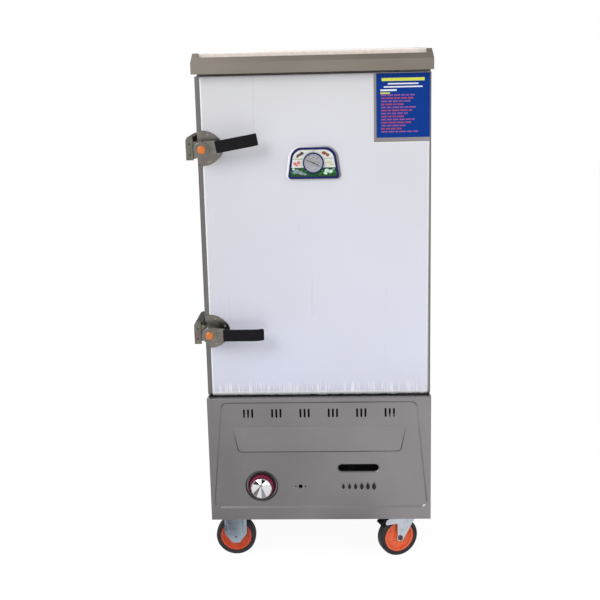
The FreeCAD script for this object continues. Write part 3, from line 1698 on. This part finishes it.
def burner():
    """The burner: slotted tubes plugged into a manifold, a mixing tube and two cross bars."""
    start, length = S.burner_tube_start, S.burner_tube_length
    axis, radius = BURNER_AXIS, S.burner_tube_radius
    half_span = S.burner_pitch * (S.burner_tubes - 1) / 2
    width, inset = S.burner_bar_width, S.burner_bar_inset
    parts = []
    for end, y in (("front", start + inset), ("rear", start + length - inset - width)):
        parts.append(block("burner_bar_" + end, -INNER, INNER, y, y + width, RAIL_TOP, BURNER_BASE))
    front = start - S.manifold_depth
    manifold = Piece("burner_manifold")
    reach, half = half_span + S.manifold_overhang, S.manifold_half
    box = rectangle(-reach, axis - half, reach, axis + half, S.manifold_corner)
    manifold.pad("XZ", front, S.manifold_depth, box)
    mixer = Piece("burner_mixer")
    throat = circle(KNOB_X, axis, S.mixer_radius - S.mixer_wall)
    mixer.pad("XZ", front - S.mixer_length, S.mixer_length, circle(KNOB_X, axis, S.mixer_radius), throat)
    place(grouped("burner", parts + [manifold.body, mixer.body, burner_tubes(half_span)]))


def burner_tubes(half_span):
    """The burner's tubes, closed at the back, with a row of slots along the top of each."""
    tubes = Piece("burner_tubes")
    start, length = S.burner_tube_start, S.burner_tube_length
    axis, radius, wall = BURNER_AXIS, S.burner_tube_radius, S.burner_wall
    outside, inside = circle(-half_span, axis, radius), circle(-half_span, axis, radius - wall)
    shell = tubes.pad("XZ", start, length - wall, outside, inside)
    tubes.linear(shell, "H_Axis", half_span * 2, S.burner_tubes)
    end = tubes.pad("XZ", start + length - wall, wall, outside)
    tubes.linear(end, "H_Axis", half_span * 2, S.burner_tubes)
    first, half = start + S.port_slot_start, S.port_slot_half
    opening = rectangle(-half_span - half, first, -half_span + half, first + S.port_slot_width)
    row = tubes.pocket("XY", axis + radius - wall * 2, wall * 2, opening)
    many = tubes.body.newObject("PartDesign::MultiTransform", tubes.name("ports"))
    along = tubes.body.newObject("PartDesign::LinearPattern", tubes.name("along"))
    along.Direction = (row.Profile[0], ["V_Axis"])
    bind(along, "Length", S.port_slot_pitch * (S.port_slots - 1))
    bind(along, "Occurrences", S.port_slots)
    across = tubes.body.newObject("PartDesign::LinearPattern", tubes.name("across"))
    across.Direction = (row.Profile[0], ["H_Axis"])
    bind(across, "Length", half_span * 2)
    bind(across, "Occurrences", S.burner_tubes)
    many.Originals = [row]
    many.Transformations = [along, across]
    tubes.body.Tip = many
    tubes.tip = many
    return tubes.body


# Fittings at the back

def feed_water_box():
    """The water feed box behind the cabinet, with its lid, inlet thread and feed pipe."""
    box = Piece("feed_water_box")
    x, wall = S.feed_x, S.feed_wall
    half = S.feed_width / 2
    bottom, top = FEED_BOTTOM, FEED_BOTTOM + S.feed_height
    inset = S.feed_inset
    outside = rectangle(x - half + inset, bottom, x + half - inset, top)
    box.pad("XZ", BACK, S.feed_depth - inset, outside)
    lid = rectangle(x - half, top - S.feed_lid, x + half, top)
    box.pad("XZ", BACK, S.feed_depth, lid)
    side = half - inset - wall
    inside = rectangle(x - side, bottom + wall, x + side, top - wall)
    box.pocket("XZ", BACK, S.feed_depth - inset - wall, inside)
    thread = circle(x + S.feed_inlet_x, BACK + S.feed_depth / 2, S.thread_radius)
    box.pad("XY", bottom - S.thread_length, S.thread_length + wall, thread)
    back_of_tank = LINER_BACK - S.tank_back_gap
    pipe = circle(x, DRAIN_ROW, S.pipe_radius)
    box.pad("XZ", back_of_tank, BACK + S.feed_pipe_reach - back_of_tank, pipe)
    low, high = DRAIN_ROW - S.feed_bar_half, DRAIN_ROW + S.feed_bar_half
    bar = rectangle(x - half + inset, low, x + half - inset, high)
    box.pad("XZ", BACK + inset, S.feed_bar_thick, bar)
    box.put()


def drain_valve():
    """The drain pipe and ball valve at the back."""
    valve = Piece("drain_valve")
    x, row = -S.drain_x, DRAIN_ROW
    start = LINER_BACK - S.tank_back_gap
    seat, length, radius = BACK + S.drain_seat, S.drain_body_length, S.drain_body_radius
    valve.pad("XZ", start, seat - start, circle(x, row, S.drain_pipe_radius))
    valve.pad("XZ", seat, length, circle(x, row, radius))
    wide = radius.value
    end = at_y(seat + length)
    valve.round(S.drain_rounding, lambda e: end(e) or (at_y(seat)(e) and e.BoundBox.XLength > wide))
    valve.pad("XZ", seat + length, S.thread_length, circle(x, row, S.drain_thread_radius))
    stem = circle(x, seat + length / 2, S.drain_stem_radius)
    valve.pad("XY", row, radius + S.drain_stem_reach, stem)
    valve.put()


def drain_lever():
    """The lever of the drain valve."""
    lever = Piece("drain_lever")
    z = DRAIN_ROW + S.drain_body_radius + S.drain_lever_lift
    half, tail, length = S.drain_lever_half, -S.drain_lever_tail, S.drain_lever_length
    corner, thick = half - 1, S.drain_lever_thick
    lever.pad("XY", z, thick, rectangle(tail, -half, length, half, corner))
    lever.pocket("XY", z, thick, circle(0, 0, S.drain_stem_radius + S.axle_clearance))
    lever.put(x=-S.drain_x, y=BACK + S.drain_seat + S.drain_body_length / 2)


def flue_outlet():
    """The flue stub behind the burner, with its flange."""
    flue = Piece("flue_outlet")
    half, wall = S.flue_half_width, S.flue_wall
    bottom, top = FLUE_BOTTOM, FLUE_BOTTOM + S.flue_height
    edge = S.flue_flange
    flue.pad("XZ", BACK, wall, rectangle(-half - edge, bottom - edge, half + edge, top + edge))
    flue.pad("XZ", BACK + wall, S.flue_reach - wall, rectangle(-half, bottom, half, top))
    inside = rectangle(-half + wall, bottom + wall, half - wall, top - wall)
    flue.pocket("XZ", BACK, S.flue_reach, inside)
    flue.put()


def steam_vent():
    """The chamber's steam vent: an elbowed pipe at the back that points down."""
    row, bend = VENT_PIPE_ROW, S.pipe_bend
    end = BACK + S.vent_pipe_reach
    vent = pipe_body(
        "steam_vent", "YZ", 0,
        [(LINER_BACK, row), (end, row, bend), (end, row - S.vent_pipe_drop)],
        "XZ", LINER_BACK, [S.vent_pipe_radius, S.vent_pipe_bore], (0, row),
    )
    collar = circle(0, row, S.vent_collar_radius), circle(0, row, S.vent_pipe_radius)
    vent.pad("XZ", BACK, S.vent_collar_thick, *collar)
    vent.put()


# Casters

def wheel(label, x, y, yaw):
    """The wheel's plastic centre, with ring ribs on both faces."""
    core = Piece(label)
    hub, hub_half = S.hub_radius, S.hub_width / 2
    web_half, rim_half = S.web_width / 2, S.core_width / 2
    outer, bore = S.core_radius, S.axle_radius + S.axle_clearance
    rim = outer - S.core_rim
    side = [
        (bore, hub_half), (hub, hub_half), (hub, web_half), (rim, web_half), (rim, rim_half), (outer, rim_half)
    ]
    profile = side + [(r, -half) for r, half in reversed(side)]
    core.revolve("XY", "V_Axis", outline(*profile))
    rise = S.web_rib
    large, small = S.web_rib_radius, S.web_rib_radius - S.web_rib_wide
    ring = circle(outer - 1, 0, large), circle(outer - 1, 0, small)
    rib = core.pad("XZ", -web_half - rise, S.web_width + rise * 2, *ring)
    core.polar(rib, "XZ", S.web_ribs)
    waste = circle(0, 0, outer + large), circle(0, 0, outer)
    core.pocket("XZ", -rim_half - 1, S.core_width + 2, *waste)
    core.put(x=x, y=y, z=S.wheel_radius, angle=yaw)


def tyre(label, x, y, yaw):
    """The rubber tyre, crowned a little and rounded at its shoulders."""
    half, radius, seat = S.wheel_width / 2, S.wheel_radius, S.core_radius
    band = Piece(label)
    shoulder, tread = radius - S.tyre_shoulder, radius - S.tyre_crown
    bend = S.tyre_rounding
    profile = outline(
        (seat, -half + 1),
        (shoulder, -half),
        (tread, -half + 1, bend),
        (radius, 0),
        (tread, half - 1, bend),
        (shoulder, half),
        (seat, half - 1),
    )
    band.revolve("XY", "V_Axis", profile)
    band.put(x=x, y=y, z=S.wheel_radius, angle=yaw)


def caster_fork(label, y):
    """A fixed caster's fork: top plate, two ribbed legs and the axle bolt."""
    fork = Piece(label)
    half_gap, thick = S.fork_gap / 2, S.fork_plate
    length, width = S.plate_length / 2, S.plate_width / 2
    under = CASTER_HEIGHT - S.plate_thick
    fork.pad("XY", under, S.plate_thick, rectangle(-length, -width, length, width, S.plate_corner))
    wide, foot = S.fork_half_width, S.fork_foot_half
    low = S.wheel_radius - S.fork_foot_drop
    knee, bend = FORK_KNEE, S.fork_foot_radius
    leg = outline(
        (-wide, knee),
        (-foot, low, bend),
        (foot, low, bend),
        (wide, knee),
        (wide, under),
        (-wide, under),
    )
    fork.pad("XZ", -half_gap - thick, thick, leg)
    fork.pad("XZ", half_gap, thick, leg)
    inset, slope, face = S.fork_rib_inset, S.fork_rib_slope, half_gap + thick
    for side in (-1, 1):
        outer, inner = side * (wide - inset), side * (wide - inset - S.fork_rib)
        near, far = sorted((outer, inner), key=lambda s: s.value)
        start = knee + slope
        foot = rectangle(near, start, far, under)
        crest = rectangle(near + slope, start + slope, far - slope, under)
        fork.loft("XZ", -face, -face - S.fork_rib_rise, foot, crest)
        fork.loft("XZ", face, face + S.fork_rib_rise, foot, crest)
    crown = rectangle(-wide, -half_gap, wide, half_gap)
    fork.pad("XY", under - S.fork_crown, S.fork_crown, crown)
    axle(fork, 0, face)
    dimple, deep = circle(0, S.wheel_radius, S.rivet_dimple), S.rivet_dimple_depth
    fork.pocket("XZ", -face - 1, deep, dimple)
    fork.pocket("XZ", face + 1 - deep, deep, dimple)
    fork.put(x=-S.caster_x, y=y)


def axle(fork, x, face):
    """The axle through the two legs, ending just outside them."""
    fork.pad("XZ", -face - 1, (face + 1) * 2, circle(x, S.wheel_radius, S.axle_radius))


def axle_nuts(fork, x, face):
    """The hexagonal head and nut outside the legs."""
    thick = S.axle_nut_thick
    for start in (-face - thick, face):
        fork.pad("XZ", start, thick, polygon(x, S.wheel_radius, S.axle_nut_radius, 6))


def swivel_plates():
    """The top plates and upper ball races of the two swivel casters."""
    plates = []
    for end, y in (("front", S.caster_front), ("rear", S.caster_rear)):
        plate = Piece("swivel_plate_" + end)
        length, width = S.plate_length / 2, S.plate_width / 2
        under = CASTER_HEIGHT - S.plate_thick
        x = S.caster_x
        shape = rectangle(x - length, y - width, x + length, y + width, S.plate_corner)
        plate.pad("XY", under, S.plate_thick, shape)
        race = S.race_height - S.plate_thick
        ring = circle(x, y, S.race_radius), circle(x, y, S.race_radius - S.race_wall)
        plate.pad("XY", under - race, race, *ring)
        plates.append(plate.body)
    place(grouped("swivel_plates", plates))


def swivel_yoke(label, y, yaw):
    """A swivel caster's yoke, trailing along its own -X, with the arm for the brake."""
    yoke = Piece(label)
    half_gap, thick = S.fork_gap / 2, S.fork_plate
    under = CASTER_HEIGHT - S.race_height - S.race_gap
    crown_bottom = under - S.crown_height
    trail, row = S.swivel_trail, S.wheel_radius
    crown_half = half_gap + thick
    foot, low, bend = S.yoke_foot_half, row - S.yoke_foot_drop, S.yoke_foot_radius
    back_edge, arm, curve = trail + foot, S.arm_half, S.arm_bend
    leg = outline(
        (S.crown_front, crown_bottom - S.yoke_brow),
        (foot - trail, low, bend),
        (-back_edge, low, bend),
        (-back_edge, PEDAL_ROW - arm, curve),
        (-ARM_REACH, PEDAL_ROW - arm, curve),
        (-ARM_REACH + S.arm_nose, PEDAL_ROW + arm, curve),
        (-back_edge - S.yoke_brow, under, arm),
        (S.crown_front, under),
    )
    yoke.pad("XZ", -crown_half, thick, leg)
    yoke.pad("XZ", half_gap, thick, leg)
    crown = rectangle(-S.crown_rear, -half_gap, S.crown_front, half_gap)
    yoke.pad("XY", crown_bottom, S.crown_height, crown)
    inner_race = S.race_radius - S.race_wall - S.race_gap
    yoke.pad("XY", under, S.race_height - S.plate_thick - 1, circle(0, 0, inner_race))
    axle(yoke, -trail, crown_half)
    axle_nuts(yoke, -trail, crown_half)
    pin = circle(-PEDAL_PIVOT, PEDAL_ROW, S.pedal_pin_radius)
    yoke.pad("XZ", -crown_half - 1, (crown_half + 1) * 2, pin)
    yoke.put(x=S.caster_x, y=y, angle=yaw)


def brake_pedal(label, y, yaw):
    """The brake pedal on the yoke's arm: a sloping foot plate on two cheeks."""
    pedal = Piece(label)
    pivot, row = PEDAL_PIVOT, PEDAL_ROW
    half, cheek_thick = S.pedal_width / 2, S.pedal_cheek
    pin = S.pedal_pin_radius
    bore = circle(-pivot, row, pin + S.axle_clearance)
    near, far = pin * 2, pin * 6
    cheek = outline(
        (pin + 1 - pivot, row - pin, 2),
        (near - pivot, row + near, pin),
        (-pivot - pin * 3, row + pin * 3),
        (-pivot - far, row + near - 1),
        (-pivot - pin * 3, row - near, pin),
    )
    pedal.pad("XZ", -half, cheek_thick, cheek, bore)
    pedal.pad("XZ", half - cheek_thick, cheek_thick, cheek, bore)
    head, tail, thick = -pivot - pin * 3, -pivot - S.tread_length, S.tread_thick
    top, drop = row + near + thick, S.tread_drop
    tread = outline((head, top - thick), (head, top), (tail, top - drop), (tail, top - thick - drop))
    pedal.pad("XZ", -half, half * 2, tread)
    pedal.put(x=S.caster_x, y=y, angle=yaw)


def casters():
    """Two fixed casters on the left and two braked swivel casters on the right."""
    for end, y in (("front", S.caster_front), ("rear", S.caster_rear)):
        caster_fork("caster_fork_%s_left" % end, y)
        wheel("wheel_%s_left" % end, -S.caster_x, y, 0)
        tyre("tyre_%s_left" % end, -S.caster_x, y, 0)
    swivel_plates()
    turned = (("front", S.caster_front, S.swivel_front_yaw), ("rear", S.caster_rear, S.swivel_rear_yaw))
    for end, y, yaw in turned:
        x = S.caster_x - S.swivel_trail * yaw.cosine()
        wheel_y = y - S.swivel_trail * yaw.sine()
        swivel_yoke("swivel_yoke_%s_right" % end, y, yaw)
        wheel("wheel_%s_right" % end, x, wheel_y, yaw)
        tyre("tyre_%s_right" % end, x, wheel_y, yaw)
        brake_pedal("brake_pedal_%s_right" % end, y, yaw)


def build():
    """Builds every sub-part in the order in which the cabinet goes together."""
    base_frame()
    base_front_panel()
    side_panel(-1, "side_panel_left")
    side_panel(1, "side_panel_right")
    back_panel()
    inner_liner()
    cabinet_insulation()
    front_frame()
    tray_rack(-1, "tray_rack_left")
    tray_rack(1, "tray_rack_right")
    water_tank()
    canopy()
    top_panel()
    door_outer_skin()
    door_insulation()
    door_inner_liner()
    door_gasket()
    door_film()
    gauge_housing()
    gauge_dial()
    dial_needle()
    pivot_brackets()
    levels = (("upper", LATCH_UPPER, S.latch_upper_lift), ("lower", LATCH_LOWER, 0))
    for level, pivot_z, lift in levels:
        latch_base(pivot_z, "latch_base_" + level)
        latch_lever("latch_lever_" + level, pivot_z, lift)
        latch_grip("latch_grip_" + level, pivot_z, lift)
        latch_cap("latch_cap_" + level, pivot_z, lift)
        strike(pivot_z, "strike_" + level)
    latch_screws()
    strike_screws()
    knob_skirt()
    gas_knob()
    valve_spindle()
    gas_valve()
    gas_pipe()
    burner()
    feed_water_box()
    drain_valve()
    drain_lever()
    flue_outlet()
    steam_vent()
    casters()


def check_objects():
    """Stops if any object failed or any sub-part has no valid solid."""
    doc.recompute()
    for thing in doc.Objects:
        states = [state for state in thing.State if state in ("Invalid", "Error")]
        assert not states, "%s is %s" % (thing.Name, states)
    for part in sub_parts:
        shape = part.Shape
        assert not shape.isNull() and shape.isValid() and shape.Solids, part.Label


def write_parts():
    """Writes one STEP file for each sub-part."""
    os.makedirs("parts", exist_ok=True)
    for part in sub_parts:
        part.Shape.exportStep("parts/%s.step" % part.Label)
    print("sub-parts:", len(sub_parts))


build()
check_objects()
write_parts()
